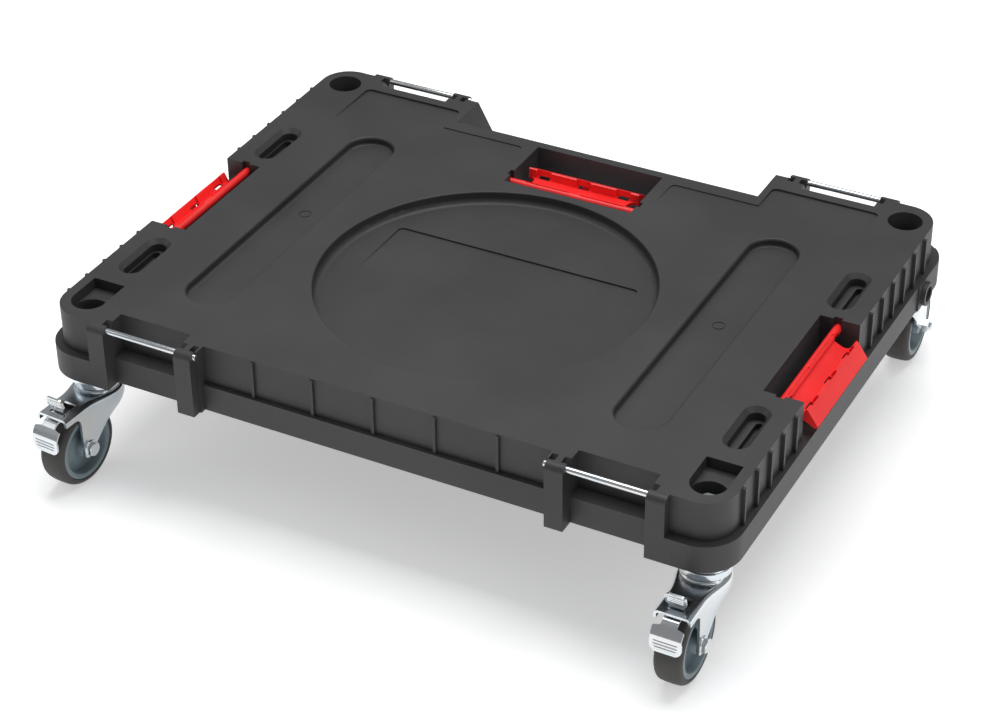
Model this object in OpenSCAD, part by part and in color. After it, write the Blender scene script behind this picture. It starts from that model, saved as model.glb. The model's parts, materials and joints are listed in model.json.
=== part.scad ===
// Wheeled transport platform for stacking tool boxes: a moulded deck with three red
// latches and four steel lashing rods, carried on four braked swivel casters.
// Origin on the floor under the middle of the deck, +X right, +Y back, +Z up.

/* [Deck] */
// Height of the top face above the floor
deck_top = 180; // [170:1:190]
// Length of the upper body
deck_l = 684; // [660:1:720]
// Depth of the upper body
deck_w = 532; // [520:1:560]
// Height of the ledge where the skirt starts
ledge_z = 140.5; // [136:0.5:146]
// Height of the lower edge of the skirt
skirt_z = 113; // [110:1:116]
// How far the skirt stands out from the body
skirt_out = 7; // [5:0.5:9]
// Wall thickness of the moulding
wall = 4; // [3:0.5:5]
// Corner radius of the upper body
corner_r = 30; // [26:1:45]

/* [Recesses] */
// Radius of the round recess in the middle
disc_r = 163; // [140:1:170]
// Depth of the round recess
disc_depth = 12.5; // [8:0.5:14]
// Width of the two long troughs
trough_w = 50; // [40:1:56]
// Depth of the long troughs
trough_depth = 8.5; // [5:0.5:10]
// Radius of the bolt wells in the corners
well_r = 17; // [15:0.5:18]

/* [Rods and brackets] */
// Radius of a lashing rod
rod_r = 3; // [2.5:0.25:3.5]
// Width of a rod bracket
bracket_w = 18; // [16:1:20]

/* [Latches] */
// Length of a latch blade
latch_l = 122; // [110:1:126]
// Radius of the latch barrel
barrel_r = 4.2; // [4:0.1:4.5]
// Tilt of the side latches at rest, in degrees below level
side_tilt = 27.4; // [20:0.2:30]
// Tilt of the rear latch at rest, in degrees below level
rear_tilt = 2.4; // [0:0.2:10]

/* [Casters] */
// Radius of a wheel
wheel_r = 40; // [39:0.5:40.5]
// Width of a tyre
tyre_w = 27; // [24:1:28]
// Radius of the tyre's shoulders
shoulder_r = 6; // [4:0.5:8]
// Distance from the swivel axis to the axle
trail = 40; // [38:1:41]
// Height of the caster from the floor to the deck
caster_h = 105; // [104:0.5:106]
// Stroke of the brake lever in degrees
brake_stroke = 5; // [3:0.5:5]

/* [Hidden] */
$fn = 72;
eps = 0.01;
big = 400;

body_x = deck_l / 2;
body_y = deck_w / 2;
skirt_x = body_x + skirt_out;
skirt_y = body_y + 9;
front_y = -254.5;
front_skirt_y = -259.6;
gap_in = 197;
gap_out = 274;
back_shift = 4;
gap_mid = (gap_in + gap_out) / 2;
gap_half = (gap_out - gap_in) / 2;
front_gap_y = -243.7;
back_gap_y = 249;
shelf_x = 177;
notch_x = 168.6;
notch_y = 216;
skin_z = deck_top - wall;

rod_y = body_y + 2.5;
rod_z = deck_top - 4;
rod_in = 176;
rod_out = 286;
nose_r = 6.5;
block_y = 263;
gusset_run = 21.5;

disc_y = -41;
trough_x = 222;
trough_y0 = -193.6;
trough_y1 = 150;
slot_x = 312;
slot_len = 69;
slot_ys = [-148.2, 94.9];
stem_x = 315;
stem_y = 236;
well_z = 154;
pocket_z = 169;
pocket_y = -202.5;
hand_x = 69.7;
hand_y0 = 131;
hand_y1 = 206.5;
side_pocket_x = 303;
side_y0 = -91.3;
side_y1 = 44.7;
side_y = (side_y0 + side_y1) / 2;
hinge_z = 169;
side_hinge_x = 320;
rear_hinge_y = 148.8;
hinge_slot = 3.5;
socket_y = 205;
seam_y = 189;
corner_proud = 1.5;
socket_z = 125;
ramp_y = 160;
ramp_slope = 0.028;

axle_z = wheel_r;
rim_r = wheel_r - 7;
hub_half = 14.4;
fork_in = 14.8;
fork_out = 17.3;
plate_z = 88;
plate_end = 69.5;
plate_slot = [43, 63, 8];
foot = [43.5, 36.4];
foot_r = 5;
pivot = [57, 82.3];
pin_r = 1.6;
coil_r = 0.6;
neck_half = 7.5;
pedal_half = 15;
tab_half = 10;
pedal_z = 78;
tab_z = 93;
stem_r = 5;
post_r = 24.5;
axle_r = 4;
ball_r = 2.4;
ball_pitch = 17;
ball_z = 92.7;
rib_z = 140;
rib_half = 1.5;
front_rib_pitch = 62.3;
side_rib_pitch = 28.8;
side_rib_ys = [-112.4, 70.5];
rib_xs = [-260, -180, -90, 0, 90, 180, 260];
rib_ys = [-215, -130, -41, 48, 112];
socket_r = 8;

corners = ["fl", "fr", "bl", "br"];
// Corner position and the angle of the pedal direction, measured from +X
places = [[-stem_x, -stem_y, -94.5], [stem_x, -stem_y, -90], [-stem_x, stem_y, 92], [stem_x, stem_y, 92]];

// ---- Shared shapes ----

module both_sides() {
    children();
    mirror([1, 0, 0]) children();
}

module slab(x0, x1, y0, y1, z0, z1) {
    translate([x0, y0, z0]) cube([x1 - x0, y1 - y0, z1 - z0]);
}

module rounded_plan(hx, hy, r) {
    square([2 * hx, 2 * (hy - r)], center = true);
    square([2 * (hx - r), 2 * hy], center = true);
    for (sx = [-1, 1], sy = [-1, 1]) translate([sx * (hx - r), sy * (hy - r)]) circle(r);
}

// Plan of the upper body, with its walls moved inwards by d
module body_plan(d) {
    difference() {
        rounded_plan(body_x - d, body_y - d, corner_r - d);
        translate([-shelf_x - d, -big]) square([2 * (shelf_x + d), big + front_y + d]);
        translate([-notch_x - d, notch_y - d]) square([2 * (notch_x + d), big]);
        translate([-gap_in - d, block_y - d]) square([2 * (gap_in + d), big]);
        for (sx = [-1, 1]) {
            translate([sx * gap_mid - gap_half - d, -big])
                square([2 * (gap_half + d), big + front_gap_y + d]);
            translate([sx * (gap_mid + back_shift) - gap_half - d, back_gap_y - d])
                square([2 * (gap_half + d), big]);
        }
    }
}

// Plan of the skirt, with its walls moved inwards by d
module skirt_plan(d) {
    difference() {
        rounded_plan(skirt_x - d, skirt_y - d, corner_r + skirt_out - d);
        translate([-gap_out - d, -big]) square([2 * (gap_out + d), big + front_skirt_y + d]);
        translate([-gap_out - d, -front_skirt_y - d]) square([2 * (gap_out + d), big]);
        translate([-notch_x - d, notch_y + 5 - d]) square([2 * (notch_x + d), big]);
    }
}

// Long slot along Y whose section is the 2D child, drawn to the right of the axis
module slot_shape(x, y0, y1) {
    for (y = [y0, y1]) translate([x, y, 0]) rotate_extrude() children();
    translate([x, y1, 0]) rotate([90, 0, 0]) linear_extrude(y1 - y0) children();
    translate([x, y0, 0]) rotate([90, 0, 180]) linear_extrude(y1 - y0) children();
}

// Half section of a recess with a rounded foot and a softly rounded mouth, whose curve
// meets the top face at a slight angle
module recess_half(r, depth, foot_r, lip) {
    floor_z = deck_top - depth;
    lip_z = deck_top - lip * 0.94;
    translate([0, floor_z]) square([r - foot_r, depth + 1]);
    translate([0, floor_z + foot_r]) square([r, depth - foot_r + 1]);
    intersection() {
        translate([r - foot_r, floor_z + foot_r]) circle(foot_r);
        translate([0, floor_z]) square([r + 1, depth]);
    }
    difference() {
        translate([0, lip_z]) square([r + lip, lip + 1]);
        translate([r + lip, lip_z]) circle(lip);
    }
}

module hex_prism(flats, h) {
    cylinder(r = flats / sqrt(3), h = h, $fn = 6);
}

// ---- Deck ----

// Straight bracket that holds a rod, with a rounded nose over it
module bracket(x0) {
    slab(x0, x0 + bracket_w, -skirt_y, -body_y + 12, skirt_z, deck_top - nose_r);
    slab(x0, x0 + bracket_w, -rod_y, -body_y + 12, skirt_z, deck_top);
    translate([x0, -rod_y, deck_top - nose_r]) rotate([0, 90, 0]) cylinder(r = nose_r, h = bracket_w);
}

// Small three-cornered relief in a bracket's side, just behind the rod
module nose_notch(x0) {
    translate([x0, 0, 0]) rotate([90, 0, 90]) linear_extrude(6)
        polygon([[-rod_y + 2, deck_top + 1], [-rod_y + 12, deck_top + 1], [-rod_y + 5, deck_top - 9]]);
}

module front_brackets() {
    for (x0 = [gap_in - bracket_w, gap_out]) bracket(x0);
}

module front_bracket_cuts() {
    nose_notch(gap_in - bracket_w - eps);
    nose_notch(gap_in - 6 + eps);
    nose_notch(gap_out - eps);
    translate([rod_in, -rod_y, rod_z]) rotate([0, 90, 0]) cylinder(r = rod_r, h = rod_out - rod_in);
}

// Brackets at the front and, a little wider apart, at the back, on both sides
module at_four_ends() {
    both_sides() {
        children();
        translate([back_shift, 0, 0]) mirror([0, 1, 0]) children();
    }
}

module solid_body() {
    translate([0, 0, skirt_z]) linear_extrude(deck_top - skirt_z) body_plan(0);
    translate([0, 0, skirt_z]) linear_extrude(ledge_z - skirt_z) skirt_plan(0);
}

// Floors of the recesses, walls of the pockets and corner posts, which stay inside the hollow
module recess_floors() {
    translate([0, disc_y, deck_top - disc_depth - wall]) cylinder(r = disc_r + wall, h = disc_depth + wall);
    both_sides() {
        slot_shape(trough_x, trough_y0 + trough_w / 2, trough_y1 - trough_w / 2)
            translate([0, deck_top - trough_depth - wall]) square([trough_w / 2 + wall, trough_depth + wall]);
        for (y = slot_ys) slot_shape(slot_x, y - slot_len / 2 + 13, y + slot_len / 2 - 13)
            translate([0, 158]) square([13, deck_top - 158]);
        slab(stem_x - well_r - wall, skirt_x - wall / 2, -stem_y, pocket_y + wall, pocket_z - wall, deck_top);
        slab(side_pocket_x - wall, skirt_x - wall / 2,
            side_y0 - hinge_slot - wall, side_y1 + hinge_slot + wall, ledge_z - wall, deck_top);
        for (sy = [-1, 1]) {
            translate([stem_x, sy * stem_y, well_z - wall])
                cylinder(r = well_r + wall, h = deck_top - well_z + wall);
            translate([stem_x, sy * stem_y, caster_h]) cylinder(r = post_r, h = deck_top - caster_h);
        }
        translate([skirt_x - 16, socket_y, socket_z]) rotate([0, 90, 0]) cylinder(r = 12, h = 14);
    }
    slab(-hand_x - hinge_slot - wall, hand_x + hinge_slot + wall,
        hand_y0 - wall, notch_y + 5, skirt_z - eps, deck_top);
}

module cavity() {
    difference() {
        union() {
            translate([0, 0, skirt_z - eps]) linear_extrude(ledge_z - wall - skirt_z + eps) skirt_plan(wall);
            translate([0, 0, skirt_z - eps]) linear_extrude(skin_z - skirt_z + eps) body_plan(wall);
        }
        recess_floors();
    }
}

module disc_recess() {
    translate([0, disc_y, 0]) rotate_extrude() recess_half(disc_r, disc_depth, 6, 1.6);
    translate([0, 0, -disc_depth]) shallow_ramp(-129, 129, 25, -60, 0.02);
}

module trough_recess() {
    slot_shape(trough_x, trough_y0 + trough_w / 2, trough_y1 - trough_w / 2)
        recess_half(trough_w / 2, trough_depth, 2.5, 3);
}

// Panel that slopes down from the deck towards the back, with rounded back corners
module shallow_ramp(x0, x1, y1, y0, slope) {
    intersection() {
        translate([x0, 0, 0]) rotate([90, 0, 90]) linear_extrude(x1 - x0)
            polygon([[y0, deck_top], [y1, deck_top - slope * (y1 - y0)],
                [y1, deck_top + 1], [y0, deck_top + 1]]);
        translate([0, 0, deck_top - 5]) linear_extrude(7) {
            translate([x0, y0]) square([x1 - x0, y1 - y0 - 6]);
            translate([x0 + 6, y0]) square([x1 - x0 - 12, y1 - y0]);
            for (x = [x0 + 6, x1 - 6]) translate([x, y1 - 6]) circle(6);
        }
    }
}

// Gate mark in the middle of a trough: a shallow ring
module gate_mark() {
    translate([trough_x, -2, deck_top - trough_depth - 0.6]) difference() {
        cylinder(r = 6.5, h = 2);
        cylinder(r = 5, h = 2);
    }
}

module side_slot(y) {
    slot_shape(slot_x, y - slot_len / 2 + 13, y + slot_len / 2 - 13)
        polygon([[0, 168], [8.5, 168], [8.5, 175.5], [13, 180], [13, 181], [0, 181]]);
    slot_shape(slot_x + 3, y - slot_len / 2 + 13, y + slot_len / 2 - 13)
        polygon([[0, 162], [4, 162], [4, 169], [0, 169]]);
}

module corner_wells() {
    for (sy = [-1, 1]) {
        translate([stem_x, sy * stem_y, well_z]) cylinder(r = well_r, h = big);
        translate([stem_x, sy * stem_y, 0]) cylinder(r = stem_r + 0.5, h = big);
    }
    slab(stem_x - well_r, stem_x + well_r, -stem_y, pocket_y, pocket_z, deck_top + 1);
}

// Slot that a latch barrel drops into from above
module hinge_cut(l) {
    translate([0, l / 2, 0]) rotate([90, 0, 0]) cylinder(r = barrel_r + 0.05, h = l);
    slab(-barrel_r - 0.05, barrel_r + 0.05, -l / 2, l / 2, 0, 20);
}

module side_pocket() {
    slab(side_pocket_x, skirt_x + 1, side_y0, side_y1, ledge_z, deck_top + 1);
    translate([side_hinge_x, side_y, hinge_z]) hinge_cut(side_y1 - side_y0 + 2 * hinge_slot);
}

module hand_pocket() {
    slab(-hand_x, hand_x, hand_y0, hand_y1, 0, deck_top + 1);
    translate([0, rear_hinge_y, hinge_z]) rotate([0, 0, 90]) hinge_cut(2 * (hand_x + hinge_slot));
}

module wall_ribs() {
    for (i = [-2:2]) translate([i * front_rib_pitch, 0, 0])
        slab(-rib_half, rib_half, front_y - 2.5, front_y + 1, ledge_z - 1, deck_top - 2);
    both_sides() {
        for (i = [0:4]) side_rib(side_rib_ys[0] - side_rib_pitch * i);
        for (i = [0:5]) side_rib(side_rib_ys[1] + side_rib_pitch * i);
    }
}

module side_rib(y) {
    slab(body_x - 1, body_x + 3.5, y - rib_half, y + rib_half, ledge_z - 1, deck_top - 1.5);
}

// Round socket on the side of the skirt
module skirt_socket() {
    translate([skirt_x - 4, socket_y, socket_z]) rotate([0, 90, 0]) cylinder(r = 12, h = 10);
}

module skirt_socket_bore() {
    translate([skirt_x - 12, socket_y, socket_z]) rotate([0, 90, 0]) cylinder(r = socket_r, h = 20);
}

// Rear corner of the skirt, which stands a little proud behind an upright seam
module skirt_corner() {
    intersection() {
        translate([0, 0, skirt_z]) linear_extrude(ledge_z - skirt_z)
            rounded_plan(skirt_x + corner_proud, skirt_y, corner_r + skirt_out);
        slab(body_x - 30, skirt_x + 5, seam_y, body_y - 2, skirt_z - 1, ledge_z + 1);
    }
}

// Sloping buttress at each end of the rear notch
module notch_gusset() {
    translate([0, block_y, 0]) rotate([90, 0, 0]) linear_extrude(block_y - notch_y + 2)
        polygon([[notch_x + 1, deck_top], [notch_x, deck_top], [notch_x - gusset_run, ledge_z],
            [notch_x - gusset_run, skirt_z], [notch_x + 1, skirt_z]]);
}

module deck() {
    color("#3d3c3e") difference() {
        union() {
            difference() {
                union() {
                    solid_body();
                    wall_ribs();
                    at_four_ends() front_brackets();
                    both_sides() {
                        skirt_socket();
                        skirt_corner();
                        notch_gusset();
                    }
                }
                cavity();
            }
            both_sides() for (sy = [-1, 1]) translate([stem_x, sy * stem_y, caster_h])
                cylinder(r = post_r, h = skirt_z - caster_h + 1);
        }
        disc_recess();
        both_sides() {
            trough_recess();
            gate_mark();
            shallow_ramp(83, 190, 200, ramp_y, ramp_slope);
            shallow_ramp(190 - 14, 288, 238, ramp_y, ramp_slope);
            for (y = slot_ys) side_slot(y);
            corner_wells();
            side_pocket();
            skirt_socket_bore();
        }
        at_four_ends() front_bracket_cuts();
        hand_pocket();
    }
}

// Stiffening ribs under the deck, cut to the hollow that they fill
module ribs_crosswise() {
    color("#3d3c3e") intersection() {
        cavity();
        for (x = rib_xs) slab(x - rib_half, x + rib_half, -big, big, rib_z, deck_top);
    }
}

module ribs_lengthwise() {
    color("#3d3c3e") difference() {
        intersection() {
            cavity();
            for (y = rib_ys) slab(-big, big, y - rib_half, y + rib_half, rib_z, deck_top);
        }
        for (x = rib_xs) slab(x - rib_half, x + rib_half, -big, big, rib_z - 1, deck_top);
    }
}

module rod(sx, sy) {
    shift = sy > 0 ? back_shift : 0;
    color("#c9ccd0") translate([sx > 0 ? rod_in + shift : -rod_out - shift, sy * rod_y, rod_z])
        rotate([0, 90, 0]) cylinder(r = rod_r, h = rod_out - rod_in);
}

// ---- Latches ----

// Section of a latch with its plate level: u outwards, v up, from the barrel's axis
module latch_plate() {
    translate([0, -3]) square([22, 3]);
}

module latch_wedge() {
    polygon([[20, -3], [20, 8.3], [21.4, 9], [38, 0.2], [38, -1.2], [36.2, -3]]);
}

module latch_hollow() {
    polygon([[23, -4], [23, 5.2], [33.5, -0.6], [33.5, -4]]);
}

// One latch along Y, its barrel on the axis and its blade towards +X
module latch(bar_l) {
    half = latch_l / 2;
    difference() {
        union() {
            translate([0, bar_l / 2, 0]) rotate([90, 0, 0]) cylinder(r = barrel_r, h = bar_l);
            translate([0, half, 0]) rotate([90, 0, 0]) linear_extrude(latch_l) {
                latch_plate();
                latch_wedge();
            }
        }
        for (s = [-1, 1]) {
            translate([12, s * (half - 1), -5]) cylinder(r = 7.8, h = 13);
            slab(barrel_r - 2, 12, s * half - 9, s * half + 9, -5, 5);
            translate([0, s * half / 2 + half / 2 - 6, 0]) rotate([90, 0, 0]) linear_extrude(half - 9)
                latch_hollow();
            slab(-1, 1, s * 30 - 24, s * 30 + 24, barrel_r - 1.2, barrel_r + 1);
        }
        for (i = [-1:1]) {
            slab(19, 22.2, 44 * i - 8, 44 * i + 8, 0.8, 10);
            slab(19, 24, 44 * i - 6, 44 * i + 6, -4, 2);
        }
    }
    for (s = [-1, 1]) intersection() {
        slab(-barrel_r, barrel_r, s * bar_l / 2 - 10, s * bar_l / 2 + 10, -barrel_r, barrel_r);
        translate([0, bar_l / 2, 0]) rotate([90, 0, 0]) cylinder(r = barrel_r, h = bar_l);
    }
}

module side_latch(turn) {
    color("#e3262b") rotate([0, 0, turn]) translate([side_hinge_x, turn == 0 ? side_y : -side_y, hinge_z])
        rotate([0, side_tilt, 0]) latch(side_y1 - side_y0 + 2 * hinge_slot - 0.6);
}

module latch_rear() {
    color("#e3262b") translate([0, rear_hinge_y, hinge_z]) rotate([0, 0, 90])
        rotate([0, rear_tilt, 0]) latch(2 * (hand_x + hinge_slot) - 0.6);
}

// ---- Casters ----

module at_corner(i) {
    translate([places[i][0], places[i][1], 0]) rotate([0, 0, places[i][2]]) children();
}

module at_axle() {
    translate([trail, 0, axle_z]) rotate([90, 0, 0]) children();
}

module stem_bolts() {
    color("#d6d9dc") for (p = places) translate([p[0], p[1], 0]) {
        translate([0, 0, well_z + 2]) hex_prism(17, 6.4);
        translate([0, 0, 70]) cylinder(r = stem_r, h = well_z + 3 - 70);
    }
}

module stem_washers() {
    color("#c9ccd0") for (p = places) translate([p[0], p[1], well_z]) difference() {
        cylinder(r = 10.5, h = 2);
        translate([0, 0, -1]) cylinder(r = stem_r, h = 4);
    }
}

module stem_nuts() {
    color("#c9ccd0") for (p = places) translate([p[0], p[1], 72]) difference() {
        hex_prism(17, 8);
        translate([0, 0, -1]) cylinder(r = stem_r, h = 10);
    }
}

// Pressed upper race: fixed to the deck, with a dust lip round the fork's head
module top_races() {
    color("#c4c8cc") for (p = places) translate([p[0], p[1], 0]) difference() {
        rotate_extrude() polygon([[10, 94.2], [21.6, 94.2], [23.2, 95.8], [23.2, 91.8], [24.5, 91.8],
            [24.5, 101], [21.5, caster_h], [12, caster_h], [12, 100], [10, 100]]);
        rotate_extrude() translate([ball_pitch, ball_z]) circle(ball_r + 0.15);
    }
}

module kingpins() {
    color("#b4b8bc") for (p = places) translate([p[0], p[1], 0]) rotate_extrude()
        polygon([[stem_r, 80], [14, 80], [14, 83], [10, 83], [10, 100], [12, 100], [12, caster_h],
            [stem_r, caster_h]]);
}

module swivel_balls() {
    color("#d0d3d6") for (p = places) translate([p[0], p[1], ball_z])
        for (k = [0:15]) rotate([0, 0, 22.5 * k]) translate([ball_pitch, 0, 0]) sphere(ball_r, $fn = 24);
}

module thrust_washers() {
    color("#e8e8e2") for (p = places) translate([p[0], p[1], 83]) difference() {
        cylinder(r = 12.6, h = 2.2);
        translate([0, 0, -1]) cylinder(r = 10, h = 4);
    }
}

// Side view of the fork: plate on top, leg down to a rounded foot, arch towards the pedal
module fork_side() {
    difference() {
        union() {
            polygon([[-22, plate_z], [-22, 84], [-14, 82], [-9, 76], [2, 66], [24, 47], [30, 39], [40, 32],
                [48.5, 36], [48.5, 73], [50.5, 77.5], [56, 79.8], [plate_end, 79.8], [plate_end, plate_z]]);
            translate(foot) circle(foot_r);
        }
        translate([trail, axle_z]) circle(axle_r);
        translate(pivot) circle(pin_r);
    }
}

// Channel section of the folded sheet, with rounded bends
module fork_channel() {
    difference() {
        union() {
            translate([-fork_out, 20]) square([2 * fork_out, plate_z - 25]);
            translate([-fork_out + 5, 20]) square([2 * fork_out - 10, plate_z - 20]);
            for (s = [-1, 1]) translate([s * (fork_out - 5), plate_z - 5]) circle(5);
        }
        translate([-fork_in, 10]) square([2 * fork_in, plate_z - 15]);
        translate([-fork_in + 2.5, 10]) square([2 * fork_in - 5, plate_z - 12.5]);
        for (s = [-1, 1]) translate([s * (fork_in - 2.5), plate_z - 5]) circle(2.5);
    }
}

module fork() {
    difference() {
        union() {
            intersection() {
                translate([-30, 0, 0]) rotate([90, 0, 90]) linear_extrude(100) fork_channel();
                translate([0, 30, 0]) rotate([90, 0, 0]) linear_extrude(60) fork_side();
            }
            translate([0, 0, plate_z - 2.5]) cylinder(r = 22, h = 2.5);
            translate([0, 0, plate_z - 2.5]) cylinder(r = 21.5, h = 5.8);
        }
        translate([0, 0, 60]) cylinder(r = 10.5, h = 40);
        rotate_extrude() translate([ball_pitch, ball_z]) circle(ball_r + 0.15);
        slab(plate_slot[0], plate_slot[1], -plate_slot[2], plate_slot[2], plate_z - 5, plate_z + 5);
    }
}

module tyre() {
    at_axle() rotate_extrude() difference() {
        union() {
            translate([rim_r, -tyre_w / 2]) square([wheel_r - shoulder_r - rim_r, tyre_w]);
            translate([rim_r, -tyre_w / 2 + shoulder_r]) square([wheel_r - rim_r, tyre_w - 2 * shoulder_r]);
            for (s = [-1, 1]) translate([wheel_r - shoulder_r, s * (tyre_w / 2 - shoulder_r)])
                circle(shoulder_r);
        }
        translate([0, -tyre_w]) square([rim_r, 2 * tyre_w]);
    }
}

module rim() {
    at_axle() rotate_extrude() polygon([[7, -hub_half], [10, -hub_half], [11.5, -5], [25.5, -3.5],
        [27.5, -13], [rim_r, -13.2], [rim_r, 13.2], [27.5, 13],
        [25.5, 3.5], [11.5, 5], [10, hub_half], [7, hub_half]]);
}

module bush() {
    at_axle() translate([0, 0, -hub_half]) difference() {
        cylinder(r = 7, h = 2 * hub_half);
        translate([0, 0, -1]) cylinder(r = axle_r + 0.05, h = 2 * hub_half + 2);
    }
}

module axle_bolt() {
    at_axle() {
        translate([0, 0, -fork_out - 0.5]) cylinder(r = axle_r, h = 2 * fork_out + 10);
        translate([0, 0, -fork_out - 5.3]) hex_prism(13, 5.3);
    }
}

module axle_nut() {
    at_axle() translate([0, 0, fork_out]) difference() {
        hex_prism(13, 6.5);
        translate([0, 0, -1]) cylinder(r = axle_r, h = 9);
    }
}

module at_pivot() {
    translate([pivot[0], 0, pivot[1]]) rotate([90, 0, 0]) children();
}

module brake_pin() {
    at_pivot() translate([0, 0, -fork_out]) cylinder(r = pin_r, h = 2 * fork_out);
}

// Torsion spring: close turns round the pin, on both sides of the lever
module brake_spring() {
    at_pivot() for (s = [-1, 1], k = [0:2]) translate([0, 0, s * (neck_half + 0.8 + 1.3 * k)])
        rotate_extrude() translate([pin_r + coil_r, 0]) circle(coil_r);
}

// Clear space over the tyre that the pressed lever may not enter
module tyre_clearance() {
    translate(pivot) rotate(brake_stroke) translate(-pivot) translate([trail, axle_z]) circle(wheel_r + 0.5);
}

// Side views of the lever: eye and neck, bent pedal in front of the tyre, and release tab
module lever_neck() {
    translate(pivot) circle(2.9);
    polygon([[57, 79.4], [57, 85.2], [62, 85.2], [71.8, 83.1], [75, 81], [73, 79.6], [64, 79.4]]);
}

module lever_pedal() {
    difference() {
        polygon([[72, 83.2], [78, 80], [81.5, 75], [83.2, 70], [83.2, 62], [83, 54], [81, 54], [81.2, 62],
            [81.2, 69.6], [79.8, 74], [76.6, 78.4], [71, 81.2]]);
        tyre_clearance();
    }
}

module lever_tab() {
    polygon([[59, 82.3], [61.6, 82.3], [61.6, 93], [65, 105.5], [63, 106.3], [59, 94]]);
}

// A side view extruded to a width of 2 w across the caster
module lever_band(w) {
    translate([0, w, 0]) rotate([90, 0, 0]) linear_extrude(2 * w) children();
}

// Blocks that narrow a band to the neck's width between two heights
module beside_neck(z0, z1) {
    for (turn = [0, 1]) mirror([0, turn, 0]) slab(40, 100, neck_half, big, z0, z1);
}

module brake_lever() {
    difference() {
        union() {
            lever_band(neck_half) lever_neck();
            difference() {
                lever_band(pedal_half) lever_pedal();
                beside_neck(pedal_z, big);
            }
            difference() {
                lever_band(tab_half) lever_tab();
                beside_neck(0, tab_z);
            }
        }
        at_pivot() translate([0, 0, -big]) cylinder(r = pin_r + 0.05, h = 2 * big);
    }
}

deck();
ribs_lengthwise();
ribs_crosswise();
rod(-1, -1);  // rod_front_left
rod(1, -1);  // rod_front_right
rod(-1, 1);  // rod_back_left
rod(1, 1);  // rod_back_right
side_latch(180);  // latch_left
side_latch(0);  // latch_right
latch_rear();
stem_bolts();
stem_washers();
stem_nuts();
top_races();
kingpins();
swivel_balls();
thrust_washers();
for (i = [0:3]) {
    color("#c4c9cd") at_corner(i) fork();
    color("#55524f") at_corner(i) tyre();
    color("#8f9a9d") at_corner(i) rim();
    color("#9aa0a4") at_corner(i) bush();
    color("#d6d9dc") at_corner(i) axle_bolt();
    color("#d6d9dc") at_corner(i) axle_nut();
    color("#b4b8bc") at_corner(i) brake_pin();
    color("#8c9094") at_corner(i) brake_spring();
    color("#d8dcdf") at_corner(i) brake_lever();
}
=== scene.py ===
import json
import math
import bpy
import bmesh
import numpy as np
from mathutils import Matrix, Vector


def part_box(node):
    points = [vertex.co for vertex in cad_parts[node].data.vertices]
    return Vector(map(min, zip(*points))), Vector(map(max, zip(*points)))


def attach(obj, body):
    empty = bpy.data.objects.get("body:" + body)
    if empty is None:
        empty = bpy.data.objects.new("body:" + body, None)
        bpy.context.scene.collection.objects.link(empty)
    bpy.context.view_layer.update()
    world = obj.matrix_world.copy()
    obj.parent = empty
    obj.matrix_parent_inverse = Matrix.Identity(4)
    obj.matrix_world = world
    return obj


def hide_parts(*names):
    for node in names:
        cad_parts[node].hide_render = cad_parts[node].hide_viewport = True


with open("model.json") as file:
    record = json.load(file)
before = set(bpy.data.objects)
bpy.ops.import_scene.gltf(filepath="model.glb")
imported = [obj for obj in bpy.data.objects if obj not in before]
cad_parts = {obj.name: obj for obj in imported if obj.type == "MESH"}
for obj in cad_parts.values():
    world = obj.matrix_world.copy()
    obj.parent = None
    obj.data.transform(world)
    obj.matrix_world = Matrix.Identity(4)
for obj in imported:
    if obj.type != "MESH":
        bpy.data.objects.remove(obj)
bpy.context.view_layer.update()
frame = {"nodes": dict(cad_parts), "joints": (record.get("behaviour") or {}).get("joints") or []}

mm = 0.001
print("frame loaded:", len(frame["nodes"]), "nodes")


def gridFaces(rows, cols, closeRows=False, closeCols=False):
    # quads between neighbouring grid points; a closed direction wraps round to its start
    r = np.arange(rows if closeRows else rows - 1)
    c = np.arange(cols if closeCols else cols - 1)
    rr, cc = np.meshgrid(r, c, indexing="ij")
    r2, c2 = (rr + 1) % rows, (cc + 1) % cols
    quads = np.stack([rr * cols + cc, r2 * cols + cc, r2 * cols + c2, rr * cols + c2], -1)
    return quads.reshape(-1, 4)


def meshObject(name, points, faces, smooth=True):
    mesh = bpy.data.meshes.new(name)
    pts = np.asarray(points, float).reshape(-1, 3)
    mesh.from_pydata(pts.tolist(), [], np.asarray(faces).tolist())
    mesh.update()
    obj = bpy.data.objects.new(name, mesh)
    bpy.context.scene.collection.objects.link(obj)
    if smooth:
        mesh.polygons.foreach_set("use_smooth", np.ones(len(mesh.polygons), bool))
    return obj


def weld(obj, dist=1e-6):
    # merges doubled points and turns every face outwards
    bm = bmesh.new()
    bm.from_mesh(obj.data)
    bmesh.ops.remove_doubles(bm, verts=bm.verts, dist=dist)
    bmesh.ops.dissolve_degenerate(bm, edges=bm.edges, dist=dist)
    bmesh.ops.recalc_face_normals(bm, faces=bm.faces)
    bm.to_mesh(obj.data)
    bm.free()
    return obj


def roundEdges(obj, width, segments=2, angle=35):
    bevel = obj.modifiers.new("roundEdges", "BEVEL")
    bevel.width = width
    bevel.segments = segments
    bevel.limit_method = "ANGLE"
    bevel.angle_limit = math.radians(angle)
    bevel.harden_normals = True
    bevel.miter_outer = "MITER_ARC"
    bevel.use_clamp_overlap = True
    return bevel


def revolve(name, profile, steps=96):
    # closed profile of (radius, along) pairs turned about the local Z axis: (r cos a, r sin a, along)
    prof = np.asarray(profile, float)
    a = np.linspace(0, 2 * np.pi, steps, endpoint=False)[:, None]
    r, h = prof[None, :, 0], prof[None, :, 1]
    pts = np.stack([r * np.cos(a), r * np.sin(a), h + 0 * a], -1)
    return weld(meshObject(name, pts, gridFaces(steps, len(prof), True, True)))


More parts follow.
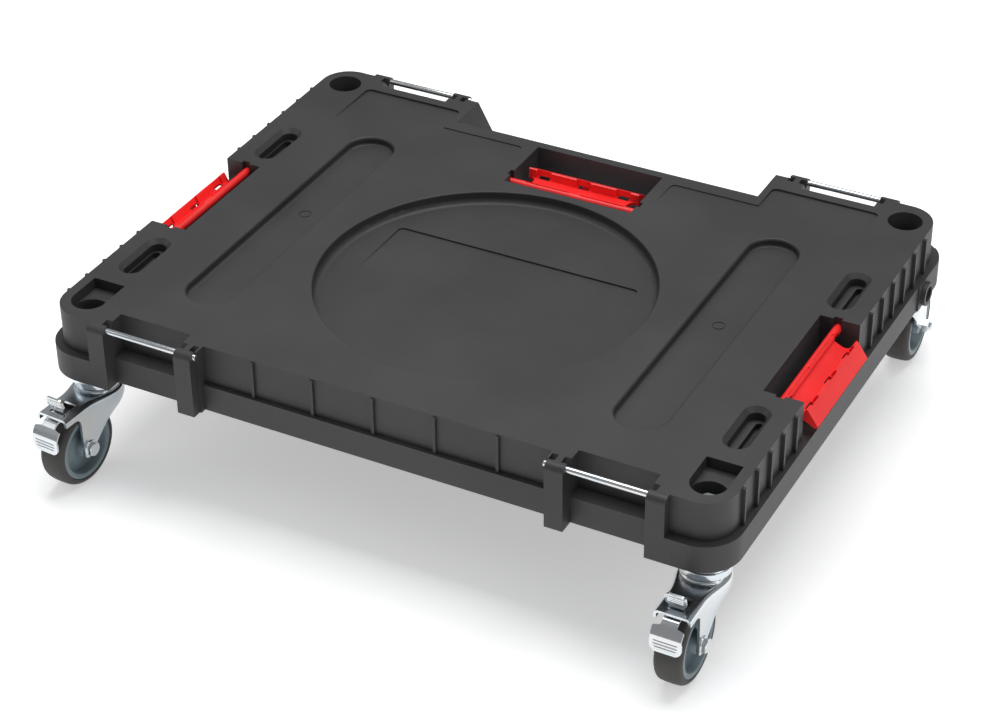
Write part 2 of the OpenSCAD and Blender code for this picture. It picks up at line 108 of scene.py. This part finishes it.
def arc(cx, cy, r, a0, a1, n=6):
    # points on a circle from angle a0 to a1 in degrees
    t = np.radians(np.linspace(a0, a1, n))
    return [(cx + r * math.cos(v), cy + r * math.sin(v)) for v in t]


def place(obj, matrix):
    # bakes a placement into the mesh, so the object itself stays at the origin
    obj.data.transform(matrix)
    if matrix.determinant() < 0:
        obj.data.flip_normals()
    obj.data.update()
    return obj


def finishPiece(obj, material, body, slotName, *nodes):
    obj.data.materials.clear()
    obj.data.materials.append(material)
    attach(obj, body)
    if nodes:
        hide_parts(*nodes)
    return obj


def softCopy(node, name, width, segments=2, angle=32):
    # a merged copy of a CAD node with flat faces joined up and its edges rounded
    source = frame["nodes"][node]
    mesh = bpy.data.meshes.new(name)
    bm = bmesh.new()
    bm.from_mesh(source.data)
    bmesh.ops.remove_doubles(bm, verts=bm.verts, dist=2e-6)
    bmesh.ops.dissolve_degenerate(bm, edges=bm.edges, dist=1e-6)
    bmesh.ops.dissolve_limit(bm, angle_limit=math.radians(0.6), verts=bm.verts, edges=bm.edges,
                             delimit={"NORMAL"})
    for f in bm.faces:
        f.smooth = True
    bm.to_mesh(mesh)
    bm.free()
    mesh.materials.clear()
    obj = bpy.data.objects.new(name, mesh)
    bpy.context.scene.collection.objects.link(obj)
    bevel = roundEdges(obj, width, segments, angle)
    bevel.harden_normals = False
    # large flat faces keep their own shading next to curved ones
    weigh = obj.modifiers.new("weighNormals", "WEIGHTED_NORMAL")
    weigh.weight = 100
    weigh.keep_sharp = True
    return obj


def startMaterial(name, colour, roughness, metallic=0.0):
    mat = bpy.data.materials.new(name)
    mat.use_nodes = True
    shader = mat.node_tree.nodes["Principled BSDF"]
    shader.inputs["Base Color"].default_value = (*colour, 1)
    shader.inputs["Roughness"].default_value = roughness
    shader.inputs["Metallic"].default_value = metallic
    return mat, shader


def addNode(mat, kind, **values):
    node = mat.node_tree.nodes.new(kind)
    for key, value in values.items():
        setattr(node, key, value)
    return node


def joinUp(mat, source, target):
    mat.node_tree.links.new(source, target)


def objectPoint(mat, scale=(1, 1, 1)):
    coord = addNode(mat, "ShaderNodeTexCoord")
    mapping = addNode(mat, "ShaderNodeMapping")
    mapping.inputs["Scale"].default_value = scale
    joinUp(mat, coord.outputs["Object"], mapping.inputs["Vector"])
    return mapping.outputs["Vector"]


def noise(mat, vector, scale, detail=3.0, rough=0.5):
    node = addNode(mat, "ShaderNodeTexNoise")
    node.inputs["Scale"].default_value = scale
    node.inputs["Detail"].default_value = detail
    node.inputs["Roughness"].default_value = rough
    joinUp(mat, vector, node.inputs["Vector"])
    return node.outputs["Fac"]


def blendStops(mat, fac, stops):
    ramp = addNode(mat, "ShaderNodeValToRGB")
    band = ramp.color_ramp
    while len(band.elements) < len(stops):
        band.elements.new(0.5)
    for element, (position, colour) in zip(band.elements, stops):
        element.position = position
        element.color = (*colour, 1) if len(colour) == 3 else colour
    joinUp(mat, fac, ramp.inputs["Fac"])
    return ramp.outputs["Color"]


def mixColours(mat, fac, first, second, mode="MIX"):
    node = addNode(mat, "ShaderNodeMix", data_type="RGBA", blend_type=mode)
    for socket, value in ((node.inputs[0], fac), (node.inputs[6], first), (node.inputs[7], second)):
        if isinstance(value, (int, float)):
            socket.default_value = value
        elif isinstance(value, tuple):
            socket.default_value = (*value, 1)
        else:
            joinUp(mat, value, socket)
    return node.outputs[2]


def maths(mat, operation, *values):
    node = addNode(mat, "ShaderNodeMath", operation=operation)
    for socket, value in zip(node.inputs, values):
        if isinstance(value, (int, float)):
            socket.default_value = value
        else:
            joinUp(mat, value, socket)
    return node.outputs[0]


def remap(mat, value, low, high):
    node = addNode(mat, "ShaderNodeMapRange")
    node.inputs["To Min"].default_value = low
    node.inputs["To Max"].default_value = high
    joinUp(mat, value, node.inputs["Value"])
    return node.outputs["Result"]


def addBump(mat, shader, height, distance, strength=1.0, under=None):
    bump = addNode(mat, "ShaderNodeBump")
    bump.inputs["Strength"].default_value = strength
    bump.inputs["Distance"].default_value = distance
    joinUp(mat, height, bump.inputs["Height"])
    if under is not None:
        joinUp(mat, under, bump.inputs["Normal"])
    joinUp(mat, bump.outputs["Normal"], shader.inputs["Normal"])
    return bump.outputs["Normal"]


deckLook = {
    "dark": (0.026, 0.0255, 0.0265), "light": (0.036, 0.0355, 0.0365), "grain": 1500.0,
    "grainDepth": 0.00006, "rough": (0.46, 0.60),
}


def mouldedBlack():
    # spark-eroded polypropylene: fine grain, soft cloudy flow marks, faint rubbed streaks
    mat, shader = startMaterial("mouldedBlack", deckLook["dark"], 0.52)
    point = objectPoint(mat)
    grain = noise(mat, point, deckLook["grain"], 2.0, 0.6)
    clouds = noise(mat, point, 9.0, 4.0, 0.55)
    streaks = noise(mat, objectPoint(mat, (14, 210, 60)), 1.0, 5.0, 0.65)
    tone = blendStops(mat, clouds, [(0.35, deckLook["dark"]), (0.65, deckLook["light"])])
    speck = blendStops(mat, grain, [(0.30, (0.80, 0.80, 0.80)), (0.70, (1.22, 1.22, 1.22))])
    joinUp(mat, mixColours(mat, 1.0, tone, speck, "MULTIPLY"), shader.inputs["Base Color"])
    mixed = maths(mat, "ADD", maths(mat, "MULTIPLY", clouds, 0.6), maths(mat, "MULTIPLY", streaks, 0.4))
    joinUp(mat, remap(mat, mixed, *deckLook["rough"]), shader.inputs["Roughness"])
    soft = addBump(mat, shader, clouds, 0.0004, 0.25)
    addBump(mat, shader, grain, deckLook["grainDepth"], 0.8, soft)
    shader.inputs["Specular IOR Level"].default_value = 0.5
    return mat


latchLook = {"red": (0.94, 0.026, 0.024), "deep": (0.82, 0.016, 0.018), "rough": (0.30, 0.42)}


def latchRed():
    # glossier injection moulding with slight flow shading
    mat, shader = startMaterial("latchRed", latchLook["red"], 0.36)
    point = objectPoint(mat)
    flow = noise(mat, point, 22.0, 3.0, 0.5)
    grain = noise(mat, point, 1300.0, 2.0, 0.5)
    joinUp(mat, blendStops(mat, flow, [(0.3, latchLook["deep"]), (0.7, latchLook["red"])]),
           shader.inputs["Base Color"])
    joinUp(mat, remap(mat, flow, *latchLook["rough"]), shader.inputs["Roughness"])
    addBump(mat, shader, grain, 0.00003, 0.6)
    shader.inputs["Subsurface Weight"].default_value = 0.06
    shader.inputs["Subsurface Scale"].default_value = 0.004
    return mat


zincLook = {"base": (0.70, 0.73, 0.75), "cool": (0.63, 0.69, 0.73), "warm": (0.74, 0.73, 0.70)}


def zincPlate(name, drawn=(60, 60, 400), rough=(0.17, 0.27)):
    # blue-passivated zinc: faint cool and warm tints, fine spangle and faint draw lines
    mat, shader = startMaterial(name, zincLook["base"], 0.22, 1.0)
    point = objectPoint(mat)
    tint = noise(mat, point, 26.0, 2.0, 0.5)
    spangle = noise(mat, point, 520.0, 3.0, 0.6)
    lines = noise(mat, objectPoint(mat, drawn), 1.0, 4.0, 0.7)
    tints = [(0.30, zincLook["cool"]), (0.5, zincLook["base"]), (0.72, zincLook["warm"])]
    colour = blendStops(mat, tint, tints)
    shade = blendStops(mat, spangle, [(0.3, (0.96, 0.965, 0.97)), (0.7, (1.0, 1.0, 1.0))])
    joinUp(mat, mixColours(mat, 1.0, colour, shade, "MULTIPLY"), shader.inputs["Base Color"])
    joinUp(mat, remap(mat, maths(mat, "MULTIPLY", maths(mat, "ADD", lines, spangle), 0.5), *rough),
           shader.inputs["Roughness"])
    soft = addBump(mat, shader, lines, 0.00001, 0.4)
    addBump(mat, shader, spangle, 0.000006, 0.4, soft)
    return mat


def plainMoulding(name, dark, light, rough, grain=900.0, depth=0.00003):
    mat, shader = startMaterial(name, light, rough)
    point = objectPoint(mat)
    clouds = noise(mat, point, 40.0, 3.0, 0.5)
    fine = noise(mat, point, grain, 2.0, 0.5)
    joinUp(mat, blendStops(mat, clouds, [(0.3, dark), (0.7, light)]), shader.inputs["Base Color"])
    joinUp(mat, remap(mat, fine, rough - 0.06, rough + 0.08), shader.inputs["Roughness"])
    addBump(mat, shader, fine, depth, 0.6)
    return mat


print("materials")
black = mouldedBlack()
red = latchRed()
sheetZinc = zincPlate("sheetZinc")
rodZinc = zincPlate("rodZinc", (500, 20, 20), (0.14, 0.24))
boltZinc = zincPlate("boltZinc", (200, 200, 200), (0.16, 0.26))
springSteel = zincPlate("springSteel", (300, 300, 300), (0.3, 0.4))
tyreRubber = plainMoulding("tyreRubber", (0.034, 0.032, 0.030), (0.048, 0.045, 0.042), 0.62, 700.0, 0.00006)
rimGrey = plainMoulding("rimGrey", (0.135, 0.185, 0.205), (0.175, 0.230, 0.250), 0.42)
nylon = plainMoulding("nylon", (0.55, 0.55, 0.50), (0.68, 0.68, 0.64), 0.45)


print("deck")
deck = softCopy("deck", "deckMoulding", 0.0008, 2)
finishPiece(deck, black, "root", "deck_plastic", "deck")

print("latches")
for side in ("left", "right", "rear"):
    latch = softCopy("latch_" + side, side + "Latch", 0.0006, 2)
    finishPiece(latch, red, side + "_latch", "latch_plastic", "latch_" + side)


rodShape = {"chamfer": 0.7 * mm}


def lashingRod(node):
    low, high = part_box(node)
    r = (high[2] - low[2]) / 2
    length = high[0] - low[0]
    c = rodShape["chamfer"]
    ends = arc(r - c, c, c, -90, 0) + arc(r - c, length - c, c, 0, 90)
    profile = [(0, 0), (r - c, 0)] + ends + [(0, length)]
    rod = revolve(node + "Bar", profile, 48)
    turn = Matrix.Rotation(math.radians(90), 4, "Y")
    place(rod, Matrix.Translation((low[0], (low[1] + high[1]) / 2, (low[2] + high[2]) / 2)) @ turn)
    finishPiece(rod, rodZinc, "root", "rod_steel", node)


print("rods")
for end in ("front", "back"):
    for side in ("left", "right"):
        lashingRod("rod_%s_%s" % (end, side))


# mm from the swivel axis: u towards the pedal, v across, z up from the floor
caster = {
    "headR": 24.0,
    "headRings": ((10.8, 3.2), (20.4, 3.2), (21.2, 2.9), (21.7, 2.2), (21.9, 0.7), (22.4, 0.1), (22.8, 0)),
    "halfWidth": 17.3, "sheet": 2.5, "plateTop": 88.0,
    "plateEnd": 69.5, "bend": 4.5, "hem": 79.9, "archR": 9.0, "legFront": 48.5, "legBack": 38.4,
    "foot": (43.5, 36.5, 5.2), "slot": (43.0, 63.0, 8.0), "widenFrom": 38.0,
    "backEdge": ((-24, -14, -12, -8, 2, 27, 32, 35.5, 38.4), (83.6, 83.2, 82, 76, 66, 44, 40, 36.6, 35.0)),
}


def smoothStep(x):
    x = np.clip(x, 0, 1)
    return x * x * (3 - 2 * x)


def forkOutline():
    # plan of the folded sheet, from one front corner round the head to the other:
    # straight flanks at v = w that widen smoothly to the head's radius
    c = caster
    r = c["headR"]
    flankU = np.concatenate([np.linspace(c["plateEnd"], c["legFront"] + 0.6, 24),
                             np.linspace(c["legFront"], c["legBack"], 16),
                             np.linspace(c["legBack"] - 0.8, 0.5, 26)])
    widen = smoothStep((c["widenFrom"] - flankU) / c["widenFrom"])
    flankV = c["halfWidth"] + (r - c["halfWidth"]) * widen
    around = np.radians(np.linspace(90, 270, 40))
    u = np.concatenate([flankU, r * np.cos(around), flankU[::-1]])
    v = np.concatenate([flankV, r * np.sin(around), -flankV[::-1]])
    return u, v


def forkHem(u):
    # height of the sheet's lower edge: quarter-circle arch by the pedal, round foot, slanted back edge
    c = caster
    footU, footZ, footR = c["foot"]
    foot = footZ - np.sqrt(np.clip(footR ** 2 - (u - footU) ** 2, 0, None))
    fromMiddle = np.clip(c["archR"] + c["legFront"] - u, 0, None)
    arch = c["hem"] - c["archR"] + np.sqrt(np.clip(c["archR"] ** 2 - fromMiddle ** 2, 0, None))
    back = np.interp(u, *c["backEdge"])
    return np.where(u >= c["legFront"] + 0.3, arch, np.where(u >= c["legBack"], foot, back))


def forkSheet(name):
    # rings go out from the swivel hole over the raised head and the flat plate; on the flanks and
    # round the head they go on over the bend and down the wall, and at the pedal end they stop
    c = caster
    u, v = forkOutline()
    half = c["sheet"] / 2
    du, dv = np.gradient(u), np.gradient(v)
    size = np.hypot(du, dv)
    nu, nv = dv / size, -du / size
    sign = np.sign(nu * u + nv * v)
    nu, nv = nu * sign, nv * sign
    bend = c["bend"] - half
    top = c["plateTop"] - half
    flat = c["halfWidth"] - c["bend"]
    endV = np.linspace(-flat, flat, 14)[1:-1]
    nEnd = len(endV)
    u0 = np.concatenate([u - nu * half, np.full(nEnd, c["plateEnd"])])
    v0 = np.concatenate([v - nv * half, endV])
    nu, nv = (np.concatenate([n, np.zeros(nEnd)]) for n in (nu, nv))
    innerU, innerV = u0 - nu * bend, v0 - nv * bend
    angle, edge = np.arctan2(innerV, innerU), np.hypot(innerU, innerV)
    rings = []
    for radius, height in c["headRings"]:
        reach = np.minimum(radius, edge - 0.2)
        z = np.full_like(u0, top + height)
        rings.append(np.stack([reach * np.cos(angle), reach * np.sin(angle), z], -1))
    inner = np.stack([innerU, innerV, np.full_like(u0, top)], -1)
    last = rings[-1]
    for f in (0.03, 0.25, 0.5, 0.75, 0.97, 1.0):
        rings.append(last * (1 - f) + inner * f)
    plateRings = len(rings)
    for t in np.radians([15, 30, 45, 60, 75, 90]):
        rings.append(np.stack([innerU + nu * bend * math.sin(t), innerV + nv * bend * math.sin(t),
                               np.full_like(u0, top - bend * (1 - math.cos(t)))], -1))
    wallTop = top - bend
    hem = np.minimum(forkHem(u0), wallTop - 0.05)
    for t in np.linspace(0, 1, 19)[1:]:
        z = wallTop + (hem - wallTop) * t
        pull = smoothStep((82 - z) / 30)
        pressed = np.sign(v0) * np.minimum(np.abs(v0), c["halfWidth"] - half)
        rings.append(np.stack([u0, v0 + (pressed - v0) * pull, z], -1))
    cols = len(u0)
    faces = gridFaces(len(rings), cols, False, True)
    row, col = faces[:, 0] // cols, faces[:, 0] % cols
    keep = (row < plateRings - 1) | (col < cols - nEnd - 1)
    pts = np.stack(rings, 0) * mm
    obj = meshObject(name, pts, faces[keep])
    bm = bmesh.new()
    bm.from_mesh(obj.data)
    bmesh.ops.delete(bm, geom=[v for v in bm.verts if not v.link_faces], context="VERTS")
    bm.to_mesh(obj.data)
    bm.free()
    return weld(obj, 1e-7)


def openSlot(obj, u0, u1, half, above):
    # cuts the sheet along the four sides of the slot and takes out the faces between them
    bm = bmesh.new()
    bm.from_mesh(obj.data)
    for point, normal in (((u0, 0, 0), (1, 0, 0)), ((u1, 0, 0), (1, 0, 0)),
                          ((0, half, 0), (0, 1, 0)), ((0, -half, 0), (0, 1, 0))):
        parts = bm.verts[:] + bm.edges[:] + bm.faces[:]
        bmesh.ops.bisect_plane(bm, geom=parts, plane_co=Vector(point) * mm, plane_no=normal, dist=1e-7)
    middles = [(f, f.calc_center_median() / mm) for f in bm.faces]
    inside = [f for f, m in middles if u0 < m.x < u1 and abs(m.y) < half and m.z > above]
    bmesh.ops.delete(bm, geom=inside, context="FACES")
    bm.to_mesh(obj.data)
    bm.free()


def faceUp(obj):
    # turns a sheet so that its face seen from above looks up
    mesh = obj.data
    normals = np.zeros(len(mesh.polygons) * 3)
    mesh.polygons.foreach_get("normal", normals)
    if normals.reshape(-1, 3)[:, 2].sum() < 0:
        mesh.flip_normals()
    return obj


def thicken(obj, thickness):
    solid = obj.modifiers.new("thicken", "SOLIDIFY")
    solid.thickness = thickness
    solid.offset = 0
    solid.use_even_offset = False
    return solid


def bake(obj):
    # applies the modifiers, so that further shaping starts from the finished mesh
    deps = bpy.context.evaluated_depsgraph_get()
    mesh = bpy.data.meshes.new_from_object(obj.evaluated_get(deps))
    obj.modifiers.clear()
    obj.data = mesh
    return obj


def hexPiece(name, flats, low, high, bore=0.0):
    # rings round Z: hexagon radius R(a) = f / cos(a folded into 30 degrees), and a 30 degree cone
    # cuts its top edge
    a = np.radians(np.arange(0, 360, 5.0))
    fold = np.abs((np.degrees(a) + 30) % 60 - 30)
    big = flats / 2 / np.cos(np.radians(fold))
    small = np.full_like(a, flats / 2 * 0.96)
    inner = np.full_like(a, max(bore, 0.01))
    drop = (big - small) * math.tan(math.radians(30))
    levels = [(inner, low), (big, low), (big, high - drop), (small, high), (small * 0.6, high), (inner, high)]
    rings = [np.stack([r * np.cos(a), r * np.sin(a), z + 0 * a], -1) for r, z in levels]
    faces = gridFaces(len(rings), len(a), bore > 0, True)
    obj = weld(meshObject(name, np.stack(rings, 0) * mm, faces, False), 2e-5)
    roundEdges(obj, 0.25 * mm, 2, 25)
    return obj


def casterPlace(corner):
    # frame of one caster: Z is its swivel axis and X points from there to the axle
    words = {"fl": "front_left", "fr": "front_right", "bl": "back_left", "br": "back_right"}[corner]
    joints = {j["name"]: j for j in frame["joints"]}
    stem = Vector(joints[words + "_swivel_turn"]["pos_m"])
    axle = Vector(joints[words + "_wheel_roll"]["pos_m"])
    along = Vector((axle.x - stem.x, axle.y - stem.y, 0))
    turn = math.atan2(along.y, along.x)
    matrix = Matrix.Translation((stem.x, stem.y, 0)) @ Matrix.Rotation(turn, 4, "Z")
    pivot = Vector(joints[words + "_brake_press"]["pos_m"])
    pivotOut = math.hypot(pivot.x - stem.x, pivot.y - stem.y)
    axleAt = (along.length / mm, axle.z / mm)
    return words, matrix, axleAt, (pivotOut / mm, pivot.z / mm)


def crosswise(out, height):
    # local Z of a turned piece lies across the caster, at this distance from the swivel axis
    return Matrix.Translation((out * mm, 0, height * mm)) @ Matrix.Rotation(math.radians(-90), 4, "X")


tyreShape = {"shoulder": 6.0, "width": 27.0, "crown": 0.35}


def tyreProfile(radius, rim):
    s, w = tyreShape["shoulder"], tyreShape["width"] / 2
    crown = [(radius - tyreShape["crown"] * (x / (w - s)) ** 2, x) for x in np.linspace(-(w - s), w - s, 9)]
    lower = arc(radius - tyreShape["crown"] - s, -(w - s), s, -90, -6, 7)
    upper = arc(radius - tyreShape["crown"] - s, w - s, s, 6, 90, 7)
    bead = [(rim + 0.6, w), (rim, w - 0.6), (rim, -w + 0.6), (rim + 0.6, -w)]
    return [(r * mm, h * mm) for r, h in lower + crown + upper + bead]


rimShape = {
    "outer": 33.0, "hubR": 10.0, "hubHalf": 14.3, "bore": 7.0, "ringIn": 27.6, "ringHalf": 12.9, "web": 3.2,
}


def rimProfile():
    # half section from the bore over the hub, down the dished web and out over the ring; mirrored
    s = rimShape
    outer, ringIn, ringHalf = s["outer"], s["ringIn"], s["ringHalf"]
    hubR, hubHalf, web = s["hubR"], s["hubHalf"], s["web"]
    half = [
        (s["bore"], hubHalf - 0.6), (s["bore"] + 0.6, hubHalf), (hubR - 0.6, hubHalf), (hubR, hubHalf - 0.6),
        (hubR + 0.5, web + 4.5), (hubR + 1.6, web + 2.2), (hubR + 4.5, web + 0.8), (ringIn - 4.0, web + 0.2),
        (ringIn - 1.8, web + 0.9), (ringIn - 0.9, web + 2.4), (ringIn, ringHalf - 0.8),
        (ringIn + 0.7, ringHalf), (outer - 0.5, ringHalf + 0.2), (outer, ringHalf - 0.2),
    ]
    other = [(r, -h) for r, h in half[::-1]]
    return [(r * mm, h * mm) for r, h in half + other]


def raceProfile():
    # pressed upper race: dust lip below, rolled shoulder above
    low, high = 92.6, 105.0
    pts = [(10, 94.6), (21.4, 94.6), (22.9, 95.6), (22.9, low + 0.6)]
    pts += arc(23.55, low + 0.65, 0.65, 180, 360, 7) + [(24.2, 98.4)]
    pts += arc(22.7, 98.6, 1.5, 0, 70, 5) + [(22.2, 101.4)] + arc(21.2, high - 1.4, 1.4, 0, 90, 5)
    pts += [(12, high), (12, 100), (10, 100)]
    return [(r * mm, h * mm) for r, h in pts]


lever = {
    "thick": 2.0, "rib": 0.8,
    "pedalPath": [(55.6, 82.5), (60, 83.4), (66, 83.3), (71, 82.2), (75.2, 79.4), (79.2, 75.0), (81.3, 71.4),
                  (81.6, 68), (81.6, 62), (81.5, 55.0)],
    "pedalWidth": ([0, 0.41, 0.44, 0.468, 0.49, 0.68, 0.71, 0.74, 0.87, 0.91, 0.95, 0.98, 1.0],
                   [7.4, 7.4, 8.0, 13.6, 14.6, 14.3, 14.3, 14.9, 14.9, 14.4, 13.1, 11.3, 9.6]),
    "pedalRibs": [(0.765, 0.019, 0.84), (0.838, 0.019, 0.84), (0.905, 0.019, 0.80)],
    "tabPath": [(60.2, 83.2), (60.2, 88), (60.3, 92.0), (61.4, 95.4), (62.6, 99.6), (63.6, 105.2)],
    "tabWidth": ([0, 0.40, 0.50, 0.57, 0.84, 0.92, 0.97, 1.0], [7.3, 7.3, 9.6, 9.9, 9.9, 9.2, 8.0, 6.6]),
    "tabRibs": [(0.62, 0.028, 0.80), (0.73, 0.028, 0.80), (0.84, 0.028, 0.76)],
}


def sampled(points, n):
    # n points evenly spaced along a polyline rounded by a short moving average
    p = np.asarray(points, float)
    d = np.concatenate([[0], np.cumsum(np.linalg.norm(np.diff(p, axis=0), axis=1))])
    s = np.linspace(0, d[-1], n)
    q = np.stack([np.interp(s, d, p[:, k]) for k in range(2)], -1)
    for _ in range(3):
        q[1:-1] = (q[:-2] + 2 * q[1:-1] + q[2:]) / 4
    return q, s / d[-1]


def ribbon(name, path, widths, ribs, n, across):
    # strip of sheet: path (u, z) carried along s, width w(s) across, with ridges raised along its normal
    q, s = sampled(path, n)
    t = np.linspace(-1, 1, across)
    w = np.interp(s, widths[0], widths[1])
    grad = np.gradient(q, axis=0)
    grad /= np.linalg.norm(grad, axis=1)[:, None]
    normal = np.stack([-grad[:, 1], grad[:, 0]], -1)
    lift = np.zeros((n, across))
    for centre, size, reach in ribs:
        ridge = np.exp(-((s - centre) / size) ** 2)
        lift += ridge[:, None] * smoothStep((reach - np.abs(t)) / 0.12)[None, :] * lever["rib"]
    u = q[:, None, 0] + normal[:, None, 0] * lift
    z = q[:, None, 1] + normal[:, None, 1] * lift
    v = w[:, None] * t[None, :]
    obj = meshObject(name, np.stack([u, v, z], -1) * mm, gridFaces(n, across))
    return obj


def joinObjects(name, parts):
    bm = bmesh.new()
    for p in parts:
        bm.from_mesh(p.data)
    mesh = bpy.data.meshes.new(name)
    bm.to_mesh(mesh)
    bm.free()
    obj = bpy.data.objects.new(name, mesh)
    bpy.context.scene.collection.objects.link(obj)
    for p in parts:
        bpy.data.objects.remove(p)
    return obj


def brakeLever(name):
    pedal = ribbon(name + "Pedal", lever["pedalPath"], lever["pedalWidth"], lever["pedalRibs"], 110, 30)
    tab = ribbon(name + "Tab", lever["tabPath"], lever["tabWidth"], lever["tabRibs"], 70, 24)
    for part in (pedal, tab):
        weld(part, 1e-7)
        thicken(part, lever["thick"] * mm)
        bake(part)
    obj = weld(joinObjects(name, [pedal, tab]), 1e-7)
    roundEdges(obj, 0.35 * mm, 2, 40)
    return obj


pinShape = {"radius": 1.6, "inset": 0.9}
axleShape = {"radius": 4.0, "flats": 13.0, "pastNut": 8.9}

print("casters")
for corner in ("fl", "fr", "bl", "br"):
    words, toWorld, axleAt, pivotAt = casterPlace(corner)
    axleFrame = toWorld @ crosswise(*axleAt)
    swivel, wheel, brake = words + "_swivel", words + "_wheel", words + "_brake"

    tyre = revolve(words + "Tyre", tyreProfile(axleAt[1], rimShape["outer"]), 128)
    place(tyre, axleFrame)
    finishPiece(tyre, tyreRubber, wheel, "tyre_rubber", "tyre_" + corner)

    rim = revolve(words + "Rim", rimProfile(), 96)
    place(rim, axleFrame)
    finishPiece(rim, rimGrey, wheel, "rim_plastic", "rim_" + corner)

    fork = faceUp(forkSheet(words + "Fork"))
    openSlot(fork, *caster["slot"], 80)
    thicken(fork, caster["sheet"] * mm)
    bake(fork)
    roundEdges(fork, 0.35 * mm, 2, 50)
    place(fork, toWorld)
    finishPiece(fork, sheetZinc, swivel, "sheet_zinc", "fork_" + corner)

    wall, axleR = caster["halfWidth"], axleShape["radius"]
    head = hexPiece(words + "AxleHead", axleShape["flats"], wall + 0.9, wall + 5.2)
    flange = [(axleR, wall - 0.1), (8.2, wall - 0.1), (8.2, wall + 0.7), (7.9, wall + 0.95),
              (axleR, wall + 0.95)]
    washer = revolve(words + "AxleWasher", [(r * mm, h * mm) for r, h in flange], 48)
    for piece in (head, washer):
        place(piece, axleFrame)
    finishPiece(head, boltZinc, swivel, "fastener_zinc", "axle_bolt_" + corner)
    finishPiece(washer, boltZinc, swivel, "fastener_zinc")
    nut = hexPiece(words + "AxleNut", axleShape["flats"], wall, wall + 6.4, axleR)
    threadEnd = wall + axleShape["pastNut"]
    stud = [(0, -wall), (axleR, -wall), (axleR, threadEnd - 0.5), (axleR - 0.6, threadEnd), (0, threadEnd)]
    shaft = revolve(words + "AxleShaft", [(r * mm, h * mm) for r, h in stud], 32)
    for piece in (nut, shaft):
        place(piece, axleFrame @ Matrix.Rotation(math.pi, 4, "X"))
    finishPiece(nut, boltZinc, swivel, "fastener_zinc", "axle_nut_" + corner)
    finishPiece(shaft, boltZinc, swivel, "fastener_zinc")

    pinHalf, pinR = (wall - pinShape["inset"]) * mm, pinShape["radius"] * mm
    pin = revolve(words + "BrakePin", [(0, -pinHalf), (pinR, -pinHalf), (pinR, pinHalf), (0, pinHalf)], 32)
    place(pin, toWorld @ crosswise(*pivotAt))
    finishPiece(pin, boltZinc, swivel, "fastener_zinc", "brake_pin_" + corner)

    pedal = brakeLever(words + "BrakeLever")
    place(pedal, toWorld)
    finishPiece(pedal, sheetZinc, brake, "lever_zinc", "brake_lever_" + corner)

races = []
for corner in ("fl", "fr", "bl", "br"):
    race = revolve(corner + "Race", raceProfile(), 96)
    races.append(place(race, casterPlace(corner)[1]))
finishPiece(joinObjects("upperRaces", races), sheetZinc, "root", "sheet_zinc", "top_races")

for name, obj in frame["nodes"].items():
    looks = {
        "stem": boltZinc, "king": sheetZinc, "swiv": boltZinc, "thru": nylon, "bush": nylon,
        "brake_spr": springSteel, "ribs": black,
    }
    for start, material in looks.items():
        if name.startswith(start):
            obj.data.materials.clear()
            obj.data.materials.append(material)


print("stage")
view = {
    "azimuth": 27.93, "elevation": 34.33, "roll": -0.695, "position": (0.9701, -1.8437, 1.4863), "lens": 92.9,
}


# evens out the shadows, as a lit white sweep does
floorGlow = 0.42


def paleFloor():
    mat, shader = startMaterial("paleFloor", (0.86, 0.86, 0.86), 0.7)
    dust = noise(mat, objectPoint(mat), 3.0, 4.0, 0.5)
    joinUp(mat, blendStops(mat, dust, [(0.3, (0.84, 0.84, 0.84)), (0.7, (0.88, 0.88, 0.88))]),
           shader.inputs["Base Color"])
    shader.inputs["Emission Color"].default_value = (1, 1, 1, 1)
    shader.inputs["Emission Strength"].default_value = floorGlow
    g = np.linspace(-6, 6, 13)
    x, y = np.meshgrid(g, g, indexing="ij")
    floor = meshObject("floor", np.stack([x, y, 0 * x], -1), gridFaces(13, 13))
    floor.data.materials.append(mat)


# position, size and power of each light
softBoxes = {
    "skyBox": ((0.0, 0.6, 3.2), (3.0, 2.2), 88),
    "leftBox": ((-2.6, -1.0, 1.8), (1.6, 1.6), 10),
    "rightBox": ((2.8, -0.6, 1.4), (1.6, 1.8), 12),
}


def softBox(name, position, size, power):
    light = bpy.data.lights.new(name, "AREA")
    light.shape = "RECTANGLE"
    light.size, light.size_y = size
    light.energy = power
    obj = bpy.data.objects.new(name, light)
    bpy.context.scene.collection.objects.link(obj)
    obj.location = position
    obj.rotation_euler = (Vector((0, 0, 0.1)) - Vector(position)).to_track_quat("-Z", "Y").to_euler()


paleFloor()
for name, (position, size, power) in softBoxes.items():
    softBox(name, position, size, power)

world = bpy.data.worlds.new("studio")
world.use_nodes = True
world.node_tree.nodes["Background"].inputs["Color"].default_value = (0.95, 0.97, 1.0, 1)
world.node_tree.nodes["Background"].inputs["Strength"].default_value = 0.30
bpy.context.scene.world = world

cameraData = bpy.data.cameras.new("camera")
cameraData.lens = view["lens"]
cameraData.sensor_width = 36
cameraData.clip_end = 50
camera = bpy.data.objects.new("camera", cameraData)
bpy.context.scene.collection.objects.link(camera)
heading = Matrix.Rotation(math.radians(view["azimuth"]), 4, "Z")
tilt = Matrix.Rotation(math.radians(90 - view["elevation"]), 4, "X")
roll = Matrix.Rotation(math.radians(view["roll"]), 4, "Z")
camera.matrix_world = Matrix.Translation(view["position"]) @ heading @ tilt @ roll
bpy.context.scene.camera = camera
bpy.context.scene.view_settings.view_transform = "Standard"

print("finishing")
